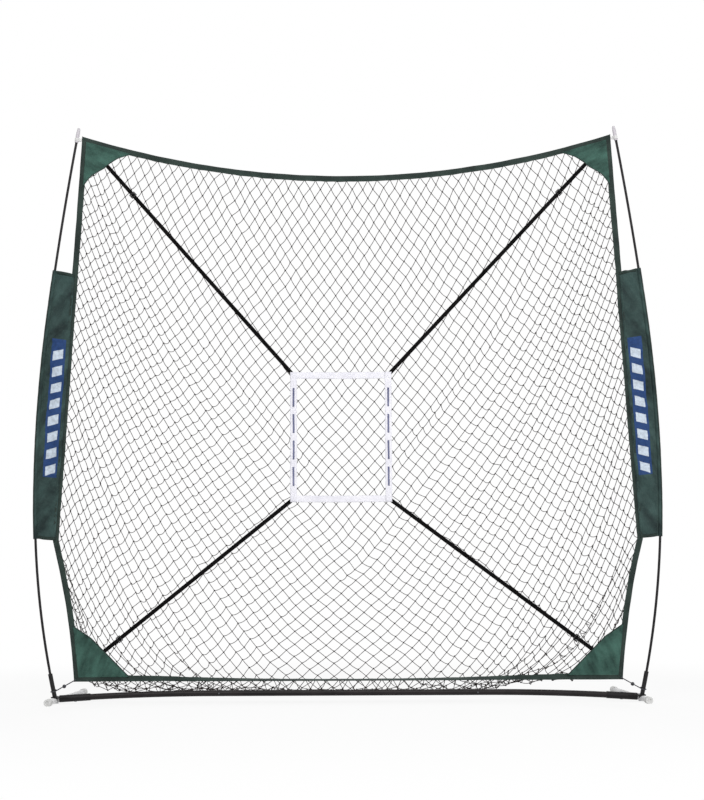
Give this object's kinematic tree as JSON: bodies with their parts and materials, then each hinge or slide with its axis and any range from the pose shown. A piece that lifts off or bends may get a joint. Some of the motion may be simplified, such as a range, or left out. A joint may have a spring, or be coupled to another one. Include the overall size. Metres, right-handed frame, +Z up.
{
  "type": "pitching target net",
  "caption": "Free-standing practice net: steel base bar on folding feet, bowed poles, slack diamond net in a cloth border, hanging strike-zone target.",
  "frame": {"origin": "on the floor, under the middle of the bounding box", "axes": "+X along the base bar to the right as seen from the pitcher, +Y from the pitcher's side to behind the net, +Z up"},
  "size_m": [2.3454, 0.5352, 2.1672],
  "materials": {
    "bar_paint": "satin black powder coat",
    "bracket_paint": "satin black powder coat",
    "plain_steel": "zinc plated",
    "button_steel": "bright plated",
    "spring_steel": "plain spring steel",
    "socket_plastic": "moulded, satin",
    "foot_paint": "light grey powder coat",
    "cap_plastic": "moulded, satin",
    "tip_plastic": "moulded, satin",
    "pole_fibreglass": "smooth pultruded fibreglass",
    "shock_cord_elastic": "braided cover",
    "net_twine": "knotted polyester twine",
    "border_cloth": "folded and stitched woven polyester",
    "patch_cloth": "woven polyester, creased",
    "panel_cloth": "woven polyester, creased",
    "loop_webbing": "woven webbing",
    "bungee_cord": "braided elastic cord",
    "ball_plastic": "moulded, smooth",
    "zone_webbing": "woven webbing",
    "zone_dashed_webbing": "woven webbing with blue-grey dashes",
    "strap_elastic": "flat woven elastic",
    "slider_plastic": "moulded"
  },
  "bodies": {
    "frame": {"bar_centre": "bar_paint", "bar_left": "bar_paint", "bar_right": "bar_paint", "bar_spigot_left": "plain_steel", "bar_spigot_right": "plain_steel", "bar_rivets": "plain_steel", "button_spring_left": "spring_steel", "button_spring_right": "spring_steel", "bracket_left": "bracket_paint", "bracket_right": "bracket_paint", "pole_socket_left": "socket_plastic", "pole_socket_right": "socket_plastic", "leg_pin_left": "plain_steel", "leg_pin_right": "plain_steel", "pole_left_lower": "pole_fibreglass", "pole_left_middle": "pole_fibreglass", "pole_left_upper": "pole_fibreglass", "pole_right_lower": "pole_fibreglass", "pole_right_middle": "pole_fibreglass", "pole_right_upper": "pole_fibreglass", "ferrules_left": "plain_steel", "ferrules_right": "plain_steel", "shock_cord_left": "shock_cord_elastic", "shock_cord_right": "shock_cord_elastic", "pole_tip_left": "tip_plastic", "pole_tip_right": "tip_plastic", "net": "net_twine", "border_top": "border_cloth", "border_bottom": "border_cloth", "border_left": "border_cloth", "border_right": "border_cloth", "patch_top_left": "patch_cloth", "patch_top_right": "patch_cloth", "patch_bottom_left": "patch_cloth", "patch_bottom_right": "patch_cloth", "side_panel_left": "panel_cloth", "side_panel_right": "panel_cloth", "corner_loops": "loop_webbing", "bungee_loops": "bungee_cord", "bungee_balls": "ball_plastic", "zone_band_top": "zone_webbing", "zone_band_bottom": "zone_webbing", "zone_band_left": "zone_dashed_webbing", "zone_band_right": "zone_dashed_webbing", "strap_top_left": "strap_elastic", "strap_top_right": "strap_elastic", "strap_bottom_left": "strap_elastic", "strap_bottom_right": "strap_elastic"},
    "foot_left": {"leg_left": "foot_paint", "leg_cap_left_front": "cap_plastic", "leg_cap_left_rear": "cap_plastic"},
    "button_left": {"snap_button_left": "button_steel"},
    "foot_right": {"leg_right": "foot_paint", "leg_cap_right_front": "cap_plastic", "leg_cap_right_rear": "cap_plastic"},
    "button_right": {"snap_button_right": "button_steel"},
    "slider_top_left": {"slider_top_left": "slider_plastic"},
    "slider_top_right": {"slider_top_right": "slider_plastic"},
    "slider_bottom_left": {"slider_bottom_left": "slider_plastic"},
    "slider_bottom_right": {"slider_bottom_right": "slider_plastic"}
  },
  "joints": [
    {"name": "foot_left_fold", "type": "hinge", "parent": "frame", "child": "foot_left", "pos_m": [-1.078, -0.13698, 0.0122], "axis": [0, 0, -1], "range_deg": [-5, 85]},
    {"name": "button_left_press", "type": "slide", "parent": "frame", "child": "button_left", "axis": [0, 1, 0], "range_m": [0, 0.0035], "stiffness_N_per_m": 400, "springref_m": -0.002, "deforming": ["button_spring_left"]},
    {"name": "foot_right_fold", "type": "hinge", "parent": "frame", "child": "foot_right", "pos_m": [1.078, -0.13698, 0.0122], "axis": [0, 0, 1], "range_deg": [-5, 85]},
    {"name": "button_right_press", "type": "slide", "parent": "frame", "child": "button_right", "axis": [0, 1, 0], "range_m": [0, 0.0035], "stiffness_N_per_m": 400, "springref_m": -0.002, "deforming": ["button_spring_right"]},
    {"name": "slider_top_left_slide", "type": "slide", "parent": "frame", "child": "slider_top_left", "axis": [0.6606, 0, -0.7508], "range_m": [-0.11, 0.45]},
    {"name": "slider_top_right_slide", "type": "slide", "parent": "frame", "child": "slider_top_right", "axis": [-0.6847, 0, -0.7289], "range_m": [-0.11, 0.45]},
    {"name": "slider_bottom_left_slide", "type": "slide", "parent": "frame", "child": "slider_bottom_left", "axis": [0.7809, 0, 0.6247], "range_m": [-0.04, 0.4]},
    {"name": "slider_bottom_right_slide", "type": "slide", "parent": "frame", "child": "slider_bottom_right", "axis": [-0.8005, 0, 0.5993], "range_m": [-0.04, 0.4]}
  ]
}
